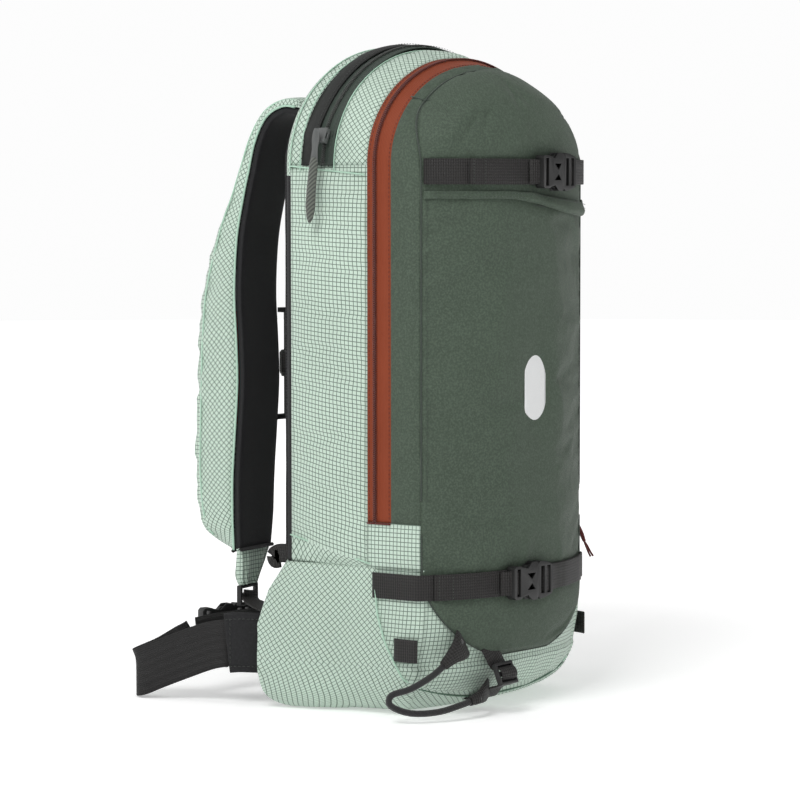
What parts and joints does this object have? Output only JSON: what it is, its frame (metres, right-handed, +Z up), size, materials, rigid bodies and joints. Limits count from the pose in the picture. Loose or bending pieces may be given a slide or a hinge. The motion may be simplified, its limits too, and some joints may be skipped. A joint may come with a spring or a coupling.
{
  "type": "avalanche airbag backpack",
  "caption": "Slim arched ski pack with a fold-down front panel, U-shaped front zip, compression straps, padded shoulder straps, hip belt and an inner gas-driven airbag.",
  "frame": {"origin": "on the floor, under the middle of the base", "axes": "+Z up; -Y is the outer face of the pack; +X is the wearer's right"},
  "size_m": [0.3051, 0.2939, 0.5278],
  "materials": {
    "mint_ripstop": "ripstop weave with a dark green grid",
    "green_twill": "matt coated twill",
    "orange_tape": "woven zip tape",
    "dark_tape": "woven zip tape",
    "black_webbing": "ribbed webbing",
    "black_fabric": "coated fabric",
    "spacer_mesh": "spacer mesh over foam",
    "airbag_nylon": "thin coated nylon",
    "sleeve_fabric": "light pocket fabric",
    "red_cord": "braided cord",
    "puller_cord": "striped woven cord",
    "black_plastic": "moulded acetal",
    "grey_plastic": "moulded plastic",
    "hdpe": "sheet",
    "stay_metal": "brushed",
    "head_metal": "bead blasted",
    "cartridge_steel": "drawn steel",
    "pin_steel": "ground",
    "lever_red": "anodised",
    "trigger_plastic": "moulded grip",
    "flap_rubber": "silicone",
    "cable_black": "cable housing"
  },
  "bodies": {
    "pack": {"back_pad": "spacer_mesh", "back_wall": "black_fabric", "frame_sheet": "hdpe", "frame_stay": "stay_metal", "side_panel_left": "mint_ripstop", "side_panel_right": "mint_ripstop", "top_panel_rear": "mint_ripstop", "top_panel_front": "mint_ripstop", "base_boot": "mint_ripstop", "lower_front_panel": "green_twill", "zip_end_patches": "mint_ripstop", "divider": "sleeve_fabric", "tool_sleeves": "sleeve_fabric", "front_zip_tape_inner": "orange_tape", "lower_strap": "black_webbing", "lower_buckle_female": "black_plastic", "top_zip_tape": "dark_tape", "top_zip_flap": "black_fabric", "haul_loop": "black_webbing", "tool_loop": "black_webbing", "ski_tabs": "black_webbing", "left_strap_pad": "spacer_mesh", "left_strap_cover": "mint_ripstop", "right_strap_pad": "spacer_mesh", "right_strap_cover": "mint_ripstop", "ladder_locks": "black_plastic", "strap_webbing": "black_webbing", "sternum_rails": "black_plastic", "hip_wings": "black_webbing", "hip_webbing": "black_webbing", "hip_buckle_female": "black_plastic", "airbag": "airbag_nylon", "inflator_head": "head_metal", "gas_cartridges": "cartridge_steel", "air_duct": "black_plastic", "trigger_cable": "cable_black", "cable_ferrules": "pin_steel"},
    "front_flap": {"front_zip_tape_outer": "orange_tape", "gusset_strip": "green_twill", "front_panel": "green_twill", "pocket_lip": "green_twill", "upper_strap": "black_webbing", "upper_buckle_female": "black_plastic"},
    "upper_male": {"upper_buckle_male": "black_plastic"},
    "lower_male": {"lower_buckle_male": "black_plastic"},
    "front_slider": {"front_zip_slider": "grey_plastic"},
    "front_pull": {"front_zip_puller": "red_cord"},
    "top_slider": {"top_zip_slider": "grey_plastic"},
    "top_pull": {"top_zip_puller": "puller_cord"},
    "tool_adjuster": {"tool_loop_adjuster": "black_plastic"},
    "sternum": {"sternum_strap": "black_webbing", "sternum_buckle_female": "black_plastic"},
    "sternum_male": {"sternum_buckle_male": "black_plastic"},
    "hip_male": {"hip_buckle_male": "black_plastic"},
    "trigger": {"trigger_handle": "trigger_plastic"},
    "lever": {"firing_lever": "lever_red"},
    "pins": {"piercing_pins": "pin_steel"},
    "valve": {"valve_flap": "flap_rubber"}
  },
  "joints": [
    {"name": "front_panel_fold", "type": "hinge", "parent": "pack", "child": "front_flap", "pos_m": [0, -0.096, 0.149], "axis": [1, 0, 0], "range_deg": [0, 80]},
    {"name": "upper_buckle_release", "type": "slide", "parent": "front_flap", "child": "upper_male", "axis": [0.9938, 0.1115, 0], "range_m": [0, 0.022]},
    {"name": "lower_buckle_release", "type": "slide", "parent": "pack", "child": "lower_male", "axis": [1, 0, 0], "range_m": [0, 0.022]},
    {"name": "front_zip_slide", "type": "slide", "parent": "pack", "child": "front_slider", "axis": [0, 0, 1], "range_m": [0, 0.26]},
    {"name": "front_zip_puller_swing", "type": "hinge", "parent": "front_slider", "child": "front_pull", "pos_m": [0.1115, -0.027, 0.16], "axis": [0, -1, 0], "range_deg": [0, 80]},
    {"name": "top_zip_slide", "type": "hinge", "parent": "pack", "child": "top_slider", "pos_m": [0, 0.019, 0.404], "axis": [0, 1, 0], "range_deg": [0, 126]},
    {"name": "top_zip_puller_swing", "type": "hinge", "parent": "top_slider", "child": "top_pull", "pos_m": [-0.1226, 0.019, 0.4545], "axis": [0, 1, 0], "range_deg": [0, 90]},
    {"name": "tool_loop_adjust", "type": "slide", "parent": "pack", "child": "tool_adjuster", "axis": [0.04, -0.373, -0.927], "range_m": [0, 0.008]},
    {"name": "sternum_height", "type": "slide", "parent": "pack", "child": "sternum", "axis": [0, 0, 1], "range_m": [-0.025, 0.025]},
    {"name": "sternum_buckle_release", "type": "slide", "parent": "sternum", "child": "sternum_male", "axis": [1, 0, 0], "range_m": [0, 0.018]},
    {"name": "hip_buckle_release", "type": "slide", "parent": "pack", "child": "hip_male", "axis": [0.9774, -0.2113, 0], "range_m": [0, 0.03]},
    {"name": "trigger_pull", "type": "slide", "parent": "pack", "child": "trigger", "axis": [0, 0, -1], "range_m": [0, 0.02]},
    {"name": "lever_turn", "type": "hinge", "parent": "pack", "child": "lever", "pos_m": [0.064, 0.022, 0.312], "axis": [1, 0, 0], "range_deg": [0, 45]},
    {"name": "pin_travel", "type": "slide", "parent": "pack", "child": "pins", "axis": [0, 0, -1], "range_m": [0, 0.007]},
    {"name": "valve_open", "type": "hinge", "parent": "pack", "child": "valve", "pos_m": [-0.0024, 0.01, 0.3419], "axis": [0, -1, 0], "range_deg": [0, 60]}
  ],
  "couplings": [
    {"joint": "lever_turn", "follows": "trigger_pull", "rad_per_m": 39.27},
    {"joint": "pin_travel", "follows": "trigger_pull", "ratio": 0.35}
  ]
}
